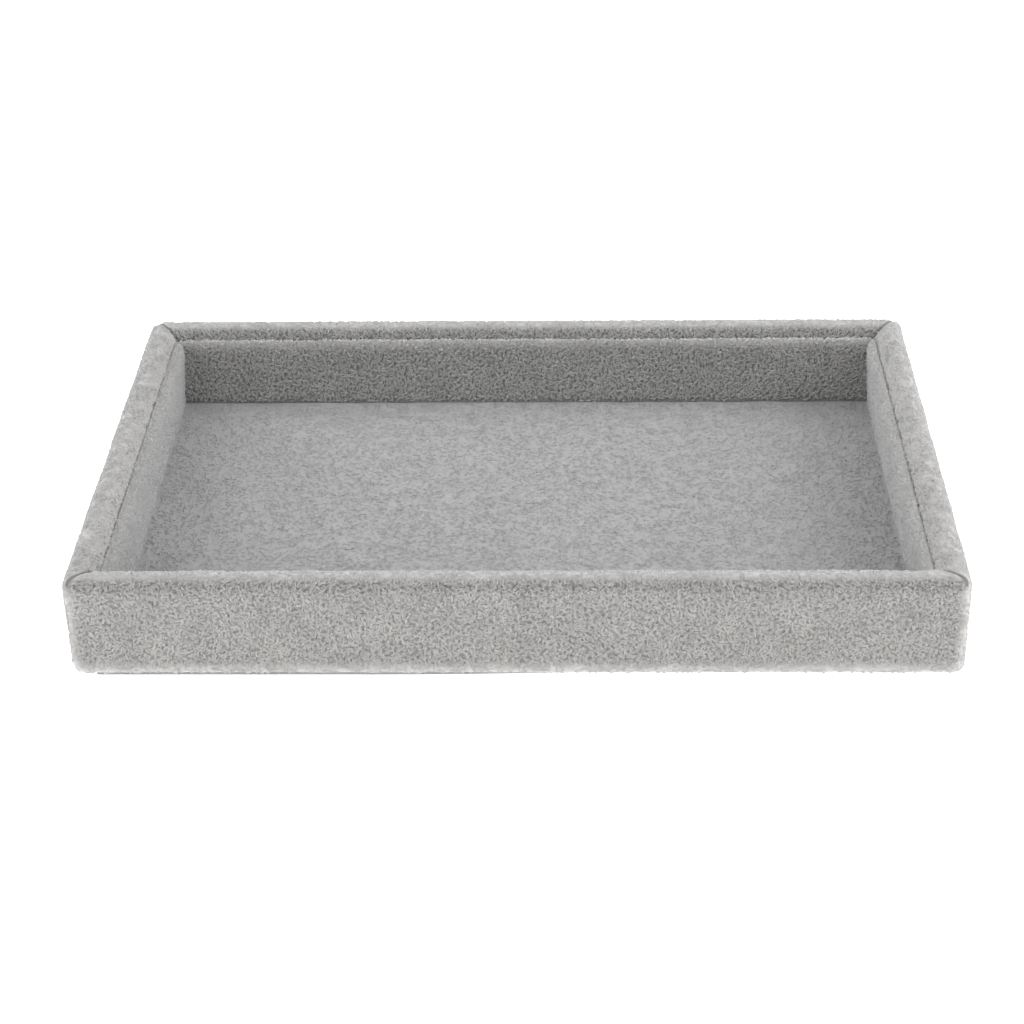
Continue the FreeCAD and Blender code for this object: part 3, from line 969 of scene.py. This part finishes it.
@dataclass
class OuterWrap(Strip):
    """One side of the plush strip round the outside: hem, outer wall, rim and the tail behind the liner.

    It has a mitre seam at each end of the rim, and the joint of the strip's ends at one corner. Its pile is thinner
    and paler towards the corners, which is painted sheen where they turn away, and patchy on the short sides.
    """

    sizes: TraySizes
    side: Side
    material: bpy.types.Material
    pile: Pile
    step: float = 0.75 * MM
    coarse: float = 9.0 * MM
    hem_shows: float = 5.5 * MM
    crease: float = 0.6 * MM
    crease_width: float = 0.8 * MM
    seam_tone: float = 3.6
    seam_fading: float = 0.6
    seam_bare: float = 0.25
    joint: float = 0.5
    rubbed: float = 0.5
    patchy: float = 0.25

    def __post_init__(self) -> None:
        self.section = self.draw_section()

    @property
    def half(self) -> float:
        """Half the tray's size along the side."""
        return self.sizes.half_along(self.side)

    def draw_section(self) -> Section:
        """The section, from the hem's inner edge round to the tail's end and back along the inside."""
        s, rim = self.sizes, LONG_RIM if self.side.is_long else SHORT_RIM
        inner, hem_end = s.well, s.plush + s.hem
        wood_out, wood_in = s.plush, s.plush + s.rail
        crown_out, crown_in, foot = (r - s.plush for r in (s.rim_round, s.rim_inner_round, s.under_round))
        path = SectionPath(hem_end, s.under)
        path.line(self.hem_shows, s.under, self.coarse, share=0.15)
        # The pile thins round the bottom edge, which paints it paler, as light from the bright table.
        path.line(s.under_round, s.under, self.step, share=0.4)
        path.arc(s.under_round, s.under + s.under_round, -90, self.step, share=0.5)
        path.line(0.0, s.under + 1.5 * s.under_round, self.step, share=0.6)
        path.line(0.0, s.top - s.rim_round, self.step, share=1.0)
        # Shares above one on the rim's bends and in its fold paint shade there.
        for share in (rim.bend_out, 0.6):
            path.arc(s.rim_round, s.top - s.rim_round, -45, self.step, share)
        path.line(inner - s.rim_inner_round, s.top, self.step, rim.crown)
        for turn, share, sunk in ((-30, rim.crown, 1.0), (-40, rim.bend_in, 1.0), (-20, rim.fold, rim.sunk)):
            path.arc(inner - s.rim_inner_round, s.top - s.rim_inner_round, turn, self.step, share, sunk)
        path.line(inner, s.top - 1.5 * s.rim_inner_round, self.step, share=0.3, sunk=rim.sunk)
        path.line(inner, s.rail_bottom, self.coarse)
        path.line(wood_in, s.rail_bottom, self.coarse)
        path.line(wood_in, s.rail_top - crown_in, self.coarse)
        path.arc(wood_in - crown_in, s.rail_top - crown_in, 90, self.step)
        path.line(wood_out + crown_out, s.rail_top, self.coarse)
        path.arc(wood_out + crown_out, s.rail_top - crown_out, 90, self.step)
        path.line(wood_out, s.base_bottom + foot, self.coarse)
        path.arc(wood_out + foot, s.base_bottom + foot, 90, self.step)
        path.line(hem_end, s.base_bottom, self.coarse)
        return path.close()

    def plan_length(self, inset: np.ndarray) -> np.ndarray:
        """Half the length of the strip's line at an inset, with half of each corner's bend."""
        reach = np.maximum(self.sizes.corner - inset, 0.0)
        return self.half - np.maximum(self.sizes.corner, inset) + reach * math.pi / 4

    def flat_middle(self) -> float:
        """Where the side's middle lies along the flat strip."""
        s = self.sizes
        quarters = s.half_length + s.half_depth - 2 * s.corner * (1 - math.pi / 4)
        return self.side.value * quarters

    def spots(self, flat: np.ndarray) -> Spots:
        """The places on the strip for places on its flat cut."""
        s = self.sizes
        share, run = 2 * flat[:, 0] - 1, flat[:, 1] * self.section.run[-1]
        inset, height, facing_in, facing_up, pile, sunk = self.section.at(run)
        length = self.plan_length(inset)
        to_end = (1 - np.abs(share)) * length
        on_strip = self.flat_middle() + share * length
        quarter = np.maximum(s.corner - inset, 0.0) * math.pi / 4
        # Less pile towards the corners paints them paler, as sheen; the short sides' patches vary at random.
        sheen_and_patches = 1 - self.rubbed * np.clip(1 - to_end / np.maximum(quarter, TINY), 0, 1)
        if not self.side.is_long:
            sheen_and_patches = sheen_and_patches * (1 + self.patchy * np.tanh(self.pile.patches.at(on_strip, run)))
        pile, sunk = pile * sheen_and_patches, sunk * sheen_and_patches
        rise, ridge = self.pile.stand(on_strip, run)
        on_rim = np.clip((height - (s.top - s.mitre_drop)) / (0.5 * s.mitre_drop), 0, 1)
        joint_end = {Side.REAR: 1, Side.LEFT: -1}.get(self.side, 0)
        on_joint = (share * joint_end > 0) * self.joint
        near = np.exp(-((to_end / self.crease_width) ** 2)) * (pile > 0)
        rise = pile * rise - PILE_DEPTH * sunk - self.crease * near * on_joint * (1 - on_rim)
        inset = inset + rise * facing_in
        height = height + rise * facing_up - self.crease * near * on_rim * np.maximum(facing_up, 0)
        place, depth, turn = self.bent_round(share, inset)
        outward = np.stack([np.sin(turn), -np.cos(turn), np.zeros_like(turn)], axis=1)
        facing = -facing_in[:, None] * outward
        facing[:, 2] = facing_up
        local = np.stack([place, depth - s.half_across(self.side), height], axis=1)
        fading = 1 - self.seam_fading * np.clip(inset / s.well, 0, 1)
        seam = near * np.maximum(on_rim, on_joint) * fading
        return Spots(
            self.side.place(local),
            self.side.place(facing),
            ridge,
            pile,
            gap_tone(ridge, pile) - self.seam_tone * seam,
            seam < self.seam_bare,
        )

    def bent_round(self, share: np.ndarray, inset: np.ndarray) -> tuple[np.ndarray, np.ndarray, np.ndarray]:
        """Bends the strip round its corners in plan.

        Args:
            share: places along the strip, from -1 at one end to 1 at the other.
            inset: their insets from the outside.

        Returns:
            The places along the side, their depths from the outside, and the angles turned.
        """
        corner = self.sizes.corner
        along = share * self.plan_length(inset)
        reach = np.maximum(corner - inset, 0.0)
        straight = self.half - np.maximum(corner, inset)
        over = np.maximum(np.abs(along) - straight, 0.0)
        turn = np.sign(along) * over / np.maximum(reach, TINY)
        depth = np.where(over > 0, corner - reach * np.cos(turn), inset)
        place = np.clip(along, -straight, straight) + reach * np.sin(turn)
        return place, depth, turn

    def build(self) -> bpy.types.Object:
        """Builds the strip's part on this side, from corner to corner."""
        tufts = Tufts(seed=300 + self.side.value).grow(f"wrap_{self.side.label}_pile", self, self.material)
        fuzz = FUZZ.grow(f"wrap_{self.side.label}_fuzz", self, self.material)
        cloth = Cloth(
            f"wrap_{self.side.label}",
            "outer_wrap",
            "grey_plush",
            [f"{self.side.label}_rail", "base_board"],
            (self.size()[1] / 2, self.size()[0]),
            self.material,
            [tufts, fuzz],
        )
        return cloth.enter(self.folded())


@dataclass(frozen=True)
class LinerForm:
    """How a liner's plush lies on its card: its lengths, then its shares of pile from the rim to the foot. A share
    above one, in the fold and at the foot, paints shade there; the shaded length is the band at the foot that takes
    the foot's share.

    The sunk share is that of the pile's depth in the fold at the rim.
    """

    crown: float = 3.2 * MM
    fullness: float = 0.0
    drawn_in: float = 0.0
    back_round: float = 1.2 * MM
    against_rim: float = 0.0
    shaded: float = 1.5 * MM
    fold: float = 1.2
    top: float = 0.7
    face: float = 1.0
    foot: float = 1.6
    sunk: float = 1.0


LONG_LINER = LinerForm()
RIGHT_LINER = LinerForm(
    crown=2.4 * MM,
    fullness=0.8 * MM,
    drawn_in=0.45 * MM,
    back_round=1.0 * MM,
    against_rim=0.25 * MM,
    fold=0.7,
    top=0.85,
    face=0.65,
    foot=1.3,
    sunk=0.0,
)
# The left liner's foot shade is painted over a taller band.
LEFT_LINER = replace(RIGHT_LINER, back_round=0.6 * MM, shaded=3.5 * MM)


@dataclass
class Liner(Strip):
    """The plush of one inner wall: it covers the card's face, rounds its top and turns down its back."""

    sizes: TraySizes
    side: Side
    material: bpy.types.Material
    pile: Pile
    form: LinerForm
    step: float = 0.75 * MM
    coarse: float = 8.0 * MM
    fine: float = 0.7
    most_rise: float = 0.2 * MM
    end_gap: float = 0.8 * MM
    foot_gap: float = 0.5 * MM

    def __post_init__(self) -> None:
        self.low, self.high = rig.box(f"{self.side.label}_liner_plush")
        self.section = self.draw_section()

    @property
    def half(self) -> float:
        """Half the liner's length."""
        span = self.high - self.low
        return max(span.x, span.y) / 2

    def draw_section(self) -> Section:
        """The section from the hem's end on the back, over the top, down the face and back inside."""
        low, high, back, form = self.low, self.high, self.sizes.well, self.form
        card_low, card_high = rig.box(f"{self.side.label}_liner_card")
        thick, card = (min(span.x, span.y) for span in (high - low, card_high - card_low))
        card_back = back + self.sizes.pressed
        card_face = card_back + card
        back_top, face, round_top = back - form.against_rim, back + thick, form.back_round
        hem_end = high.z - self.sizes.hem
        path = SectionPath(back, hem_end)
        path.line(back, high.z - 2 * round_top, self.coarse)
        path.line(back_top, high.z - round_top, self.step, share=0.2, sunk=form.sunk)
        path.arc(back_top + round_top, high.z - round_top, -90, self.fine * self.step, form.fold, form.sunk)
        path.shoulder(face + form.fullness, high.z - form.crown, self.fine * self.step, form.top)
        path.line(face - form.drawn_in, low.z + form.shaded, self.step, form.face)
        # The band at the foot is painted darker, as the shade where the liner meets the floor.
        path.line(face - form.drawn_in, low.z, self.step, form.foot)
        path.line(card_face, low.z, self.coarse)
        path.line(card_face, card_high.z, self.coarse)
        path.line(card_back, card_high.z, self.coarse)
        path.line(card_back, hem_end, self.coarse)
        return path.close()

    def spots(self, flat: np.ndarray) -> Spots:
        """The places on the liner for places on its flat cut."""
        along, run = (2 * flat[:, 0] - 1) * self.half, flat[:, 1] * self.section.run[-1]
        inset, height, facing_in, facing_up, pile, sunk = self.section.at(run)
        rise, ridge = self.pile.stand(along, run)
        facing = np.stack([np.zeros_like(along), facing_in, facing_up], axis=1)
        local = np.stack([along, inset - self.sizes.half_across(self.side), height], axis=1)
        local += (pile * np.minimum(rise, self.most_rise) - PILE_DEPTH * sunk)[:, None] * facing
        keep = (self.half - np.abs(along) > self.end_gap) & (height > self.low.z + self.foot_gap)
        place = self.side.place
        return Spots(place(local), place(facing), ridge, pile, gap_tone(ridge, pile), keep)

    def build(self) -> bpy.types.Object:
        """Builds the liner's plush."""
        tufts = Tufts(seed=400 + self.side.value).grow(f"liner_{self.side.label}_pile", self, self.material)
        cloth = Cloth(
            f"liner_{self.side.label}",
            f"{self.side.label}_liner_plush",
            "grey_plush",
            [f"{self.side.label}_liner_card"],
            (self.size()[1] / 2, self.size()[0]),
            self.material,
            [tufts],
        )
        return cloth.enter(self.folded())


def close_under(bm: bmesh.types.BMesh, half: tuple[float, float], rings: list[tuple[float, float]]) -> None:
    """Turns the border of a flat sheet under, ring by ring, and closes the last ring with one face.

    Args:
        bm: the sheet.
        half: half its length and depth.
        rings: the inset from the border and the height of each ring.
    """
    border = [e for e in bm.edges if e.is_boundary]
    start = {v: v.co.copy() for e in border for v in e.verts}
    for inset, height in rings:
        made = bmesh.ops.extrude_edge_only(bm, edges=border)["geom"]
        border = [g for g in made if isinstance(g, bmesh.types.BMEdge) and g.is_boundary]
        moved = {}
        for vert in {v for e in border for v in e.verts}:
            old = next(o for e in vert.link_edges if (o := e.other_vert(vert)) in start)
            moved[vert] = start[old]
            vert.co = (
                start[old].x * (half[0] - inset) / half[0],
                start[old].y * (half[1] - inset) / half[1],
                height,
            )
        start = moved
    for face in bm.faces:
        face.smooth = True
    for edge in border:
        edge.smooth = False
    bmesh.ops.contextual_create(bm, geom=border)


@dataclass
class FloorPad(ClothShape):
    """The plush over the floor card, turned under the card's edges.

    Its pile lies low, with longer curls from front to back, bare under the liners and paler at the rear, which is
    painted light.
    """

    sizes: TraySizes
    material: bpy.types.Material
    pile: Pile
    step: float = 0.8 * MM
    edge_round: float = 0.9 * MM
    border: float = 2.6 * MM
    bare_edge: float = 1.0 * MM
    edge_fade: float = 2.0 * MM
    sunk: float = 0.4
    nap: float = 0.3
    combed: float = 0.45
    curled: float = 0.9
    uneven: float = 0.15
    curl_range: tuple[float, float] = (0.4, 1.1)
    ridge_tone: float = 0.22
    ground_tone: float = 0.2

    def __post_init__(self) -> None:
        self.low, self.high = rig.box("floor_plush")
        self.half = np.array([self.high.x, self.high.y])

    def size(self) -> tuple[float, float]:
        """Length and depth of the floor."""
        return 2 * self.half[0], 2 * self.half[1]

    def show(self) -> tuple[np.ndarray, np.ndarray]:
        """The part of the floor between the liners."""
        hidden = self.border / (2 * self.half)
        return hidden, 1 - hidden

    def spots(self, flat: np.ndarray) -> Spots:
        """The places on the floor for places on its flat cut."""
        across = (2 * flat - 1) * self.half
        rise, ridge = self.pile.stand(across[:, 0], self.combed * across[:, 1])
        to_edge = np.min(self.half - np.abs(across), axis=1)
        pile = np.clip((to_edge - self.bare_edge) / self.edge_fade, 0, 1)
        over = np.maximum(self.edge_round - to_edge, 0)
        drop = self.edge_round - np.sqrt(np.maximum(self.edge_round**2 - over**2, 0))
        place = np.column_stack([across, self.high.z - drop + (rise - self.sunk * PILE_DEPTH) * pile])
        facing = np.tile((0.0, 0.0, 1.0), (len(flat), 1))
        curls = np.clip(self.curled + self.uneven * self.pile.patches.at(*across.T), *self.curl_range)
        # The rear of the floor is painted paler, as light.
        paler = self.nap * np.clip(2 * across[:, 1] / self.half[1] - 1, 0, 1)
        tone = self.ridge_tone * ridge * curls + self.ground_tone + paler
        return Spots(place, facing, ridge, curls, tone, pile > 0)

    def build(self) -> bpy.types.Object:
        """Builds the floor's plush."""
        card_low, card_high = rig.box("floor_card")
        bm = bmesh.new()
        bm.loops.layers.uv.new(CLOTH_MAP)
        pile = bm.verts.layers.float.new(PILE)
        counts = [round(2 * h / self.step) for h in self.half]
        bmesh.ops.create_grid(bm, x_segments=counts[0], y_segments=counts[1], size=0.5, calc_uvs=True)
        spots = self.spots(np.array([(v.co.x, v.co.y) for v in bm.verts]) + 0.5)
        for vert, place, value in zip(bm.verts, spots.place.tolist(), spots.tone.tolist()):
            vert.co = place
            vert[pile] = value
        side, hem = self.high.x - card_high.x, self.sizes.hem
        rings = [
            (0.0, self.low.z),
            (side + hem, self.low.z),
            (side + hem, card_low.z),
            (side, card_low.z),
            (side, card_high.z),
        ]
        close_under(bm, tuple(self.half), rings)
        piled = FLOOR_TUFTS.grow("floor_cover_pile", self, self.material)
        flat = tuple(2 * (h + hem) for h in self.half)
        cloth = Cloth(
            "floor_cover", "floor_plush", "grey_plush", ["floor_card"], flat, self.material, [piled]
        )
        return cloth.enter(bm)


@dataclass
class BottomCover:
    """The felt sheet under the base, pressed thinner where it lies over the wrap's hem."""

    sizes: TraySizes
    material: bpy.types.Material
    corner: float = 3.0 * MM
    border: float = 8.0 * MM

    def build(self) -> bpy.types.Object:
        """Builds the felt sheet."""
        _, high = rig.box("bottom_cover")
        bm = bmesh.new()
        bm.loops.layers.uv.new(CLOTH_MAP)
        bmesh.ops.create_grid(bm, x_segments=1, y_segments=1, size=1.0, calc_uvs=True)
        bmesh.ops.scale(bm, vec=(high.x, high.y, 1.0), verts=bm.verts[:])
        bmesh.ops.bevel(
            bm,
            geom=bm.verts[:],
            offset=self.corner,
            affect="VERTICES",
            segments=8,
            profile=0.5,
            offset_type="OFFSET",
            material=-1,
        )
        rings = [(0.0, self.sizes.under), (self.border, self.sizes.under), (self.border, high.z)]
        close_under(bm, (high.x, high.y), rings)
        for face in bm.faces:
            face.smooth = False
        flat = (2 * high.x, 2 * high.y)
        cloth = Cloth("felt_cover", "bottom_cover", "under_felt", ["base_board"], flat, self.material)
        return cloth.enter(bm)


@dataclass
class HiddenWork:
    """The boards, cards and brads under the plush, which keep the frame's own shapes."""

    nodes: dict[str, bpy.types.Object]
    finishes: dict[str, PlainFinish] = field(
        default_factory=lambda: {
            "_rail": RAIL_WOOD,
            "base_board": HARDBOARD,
            "_brads": STEEL,
            "_card": CARD,
        }
    )

    def dress(self) -> None:
        """Gives each of these nodes its material and slot."""
        for ending, finish in self.finishes.items():
            material = finish.material()
            for name, node in self.nodes.items():
                if name.endswith(ending):
                    node.data.materials.clear()
                    node.data.materials.append(material)
                    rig.slot(node, finish.name)
                    LOG.info("%s: %s", name, finish.name)


@dataclass
class Tray:
    """The whole tray."""

    nodes: dict[str, bpy.types.Object]

    def build(self) -> None:
        """Builds and dresses every piece."""
        sizes = TraySizes.of_frame()
        plush = PlushFinish().material()
        # The floor's plush is a darker copy of the same plush.
        floor_plush = PlushFinish(
            "floor_plush", tip=(0.398, 0.398, 0.402), gap=(0.2, 0.2, 0.202), patch=0.04
        ).material()
        # The left wrap's plush is a darker copy of the same plush.
        wraps = {Side.LEFT: PlushFinish("turned_plush", tip=(0.535, 0.529, 0.522)).material()}
        # The left liner takes a darker copy of the plush, painted shade, and the right liner a paler one, painted
        # light.
        liners = {
            Side.LEFT: PlushFinish("brushed_plush_left", tip=(0.455, 0.451, 0.447)).material(),
            Side.RIGHT: PlushFinish("brushed_plush_right", tip=(0.54, 0.535, 0.53)).material(),
        }
        forms = {Side.LEFT: LEFT_LINER, Side.RIGHT: RIGHT_LINER}
        wrap_pile = Pile(seed=11)
        for side in Side:
            OuterWrap(sizes, side, wraps.get(side, plush), wrap_pile).build()
            liner_pile = Pile(seed=40 + 5 * side.value)
            form = forms.get(side, LONG_LINER)
            Liner(sizes, side, liners.get(side, plush), liner_pile, form).build()
        FloorPad(sizes, floor_plush, Pile(seed=71, tuft=2.0 * MM, relief=0.02 * MM)).build()
        BottomCover(sizes, FELT.material()).build()
        HiddenWork(self.nodes).dress()


@dataclass(frozen=True)
class SoftLight:
    """A part of the sky that shines: along one axis, from where it starts to where it is full."""

    axis: str
    strength: float
    start: float
    full: float
    sign: float = 1.0
    both: bool = False


@dataclass(frozen=True)
class Studio:
    """A white table under soft light, seen by the camera from the front and above."""

    lens: float = 81.821
    camera_place: tuple[float, float, float] = (0.018582, -0.745519, 0.4419)
    pitch: float = 30.331
    yaw: float = 1.691
    roll: float = -0.958
    floor_size: float = 6.0
    floor_colour: float = 0.9
    floor_light: float = 0.86
    floor_glow: float = 0.2
    floor_tint: tuple[float, float, float] = (1.0, 0.975, 0.955)
    contact: float = 0.9 * MM
    contact_blur: float = 0.6 * MM
    contact_start: float = 8.0 * MM
    pressed_end: float = 2.5 * MM
    pressed_from: float = -0.3
    pressed_full: float = 0.5
    box_place: tuple[float, float, float] = (0.7, 0.0, 0.4)
    box_size: float = 0.4
    box_power: float = 1.0
    lights: tuple[SoftLight, ...] = (
        SoftLight("X", 1.9, 0.2, 0.8, both=True),
        SoftLight("Z", 0.69, 0.5, 0.95),
        SoftLight("Y", 0.27, 0.2, 0.8, sign=-1.0),
    )

    def build(self) -> None:
        """Makes the camera, the floor and the light."""
        self.camera()
        self.floor()
        self.sky()
        self.softbox()
        bpy.context.scene.view_settings.view_transform = "Standard"

    def camera(self) -> None:
        """Sets the camera where the photo was taken from."""
        pitch, yaw, roll = (math.radians(a) for a in (self.pitch, self.yaw, self.roll))
        ahead = Vector((-math.sin(yaw), math.cos(yaw), 0))
        right = Vector((math.cos(yaw), math.sin(yaw), 0))
        rise = Vector((0, 0, 1))
        forward = ahead * math.cos(pitch) - rise * math.sin(pitch)
        up = ahead * math.sin(pitch) + rise * math.cos(pitch)
        turned_right = right * math.cos(roll) + up * math.sin(roll)
        turned_up = up * math.cos(roll) - right * math.sin(roll)
        data = bpy.data.cameras.new("camera")
        data.lens, data.sensor_width = self.lens, 36.0
        data.clip_start, data.clip_end = 0.05, 20.0
        camera = bpy.data.objects.new("camera", data)
        rows = zip(turned_right, turned_up, -forward, self.camera_place)
        camera.matrix_world = Matrix([*rows, (0, 0, 0, 1)])
        bpy.context.scene.collection.objects.link(camera)
        bpy.context.scene.camera = camera

    def floor(self) -> None:
        """Lays the white floor, which the camera sees a little brighter than it is lit."""
        bm = bmesh.new()
        bmesh.ops.create_grid(bm, x_segments=1, y_segments=1, size=self.floor_size / 2)
        mesh = bpy.data.meshes.new("table")
        bm.to_mesh(mesh)
        bm.free()
        shader = Shader(bpy.data.materials.new("table_white"))
        seen = shader.node("ShaderNodeLightPath").outputs["Is Camera Ray"]
        glow = shader.spread(seen, 0.0, 1.0, self.floor_light, self.floor_light + self.floor_glow)
        glow = shader.number("MULTIPLY", glow, self.open_table(shader))
        mesh.materials.append(
            shader.finish(
                (self.floor_colour,) * 3 + (1.0,),
                Roughness=1.0,
                Specular_IOR_Level=0.0,
                Emission_Color=(*self.floor_tint, 1.0),
                Emission_Strength=glow,
            )
        )
        table = bpy.data.objects.new("table", mesh)
        bpy.context.scene.collection.objects.link(table)
        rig.stage(table)

    def open_table(self, shader: Shader) -> bpy.types.NodeSocket:
        """One on the open table and nought under the tray's edge, so that its shade shows there; the glow reaches
        further under the right end, which paints the dark line there narrower.
        """
        _, high = FRAME_BOUNDS
        parts = shader.node("ShaderNodeSeparateXYZ", Vector=shader.ways["Object"]).outputs
        # The glow's edge under the tray is shifted further in towards the right end.
        ends = (self.pressed_from * high[0], self.pressed_full * high[0])
        glow_shift = shader.spread(parts["X"], *ends, 0.0, self.pressed_end)
        along = shader.number("ABSOLUTE", parts["X"])
        across = shader.number("ADD", shader.number("ABSOLUTE", parts["Y"]), glow_shift)
        beyond = [
            shader.spread(way, edge - self.contact_blur, edge, 0.0, 1.0)
            for way, edge in ((along, high[0] - self.contact_start), (across, high[1] - self.contact))
        ]
        return shader.number("MAXIMUM", *beyond)

    def sky(self) -> None:
        """Lights the table softly, from both sides most, from above less and from the front a little."""
        world = bpy.data.worlds.new("studio")
        bpy.context.scene.world = world
        shader = Shader(world)
        parts = shader.node("ShaderNodeSeparateXYZ", Vector=shader.ways["Generated"]).outputs
        total = 0.0
        for light in self.lights:
            way = shader.number("ABSOLUTE" if light.both else "MULTIPLY", parts[light.axis], light.sign)
            lobe = shader.spread(way, light.start, light.full, 0.0, light.strength)
            total = shader.number("ADD", lobe, total)
        sky = shader.node("ShaderNodeBackground", Color=(1.0, 1.0, 1.0, 1.0), Strength=total)
        shader.node("ShaderNodeOutputWorld", Surface=sky.outputs["Background"])

    def softbox(self) -> None:
        """Lights the right end of the table a little more, from a box at its side."""
        data = bpy.data.lights.new("softbox", "AREA")
        data.energy, data.size = self.box_power, self.box_size
        box = bpy.data.objects.new("softbox", data)
        place = Vector(self.box_place)
        box.matrix_world = Matrix.Translation(place) @ place.to_track_quat("Z", "Y").to_matrix().to_4x4()
        bpy.context.scene.collection.objects.link(box)


def main() -> None:
    """Builds the tray and the studio and writes the frame's and the finished model's boxes."""
    logging.basicConfig(level=logging.INFO, format="%(message)s")
    Tray(frame["nodes"]).build()
    Studio().build()
    boxes = {"frame": FRAME_BOUNDS, "model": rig.bounds()}
    with open(SIZE_FILE, "w") as out:
        json.dump({name: [list(corner) for corner in box] for name, box in boxes.items()}, out)


if __name__ == "__main__":
    main()
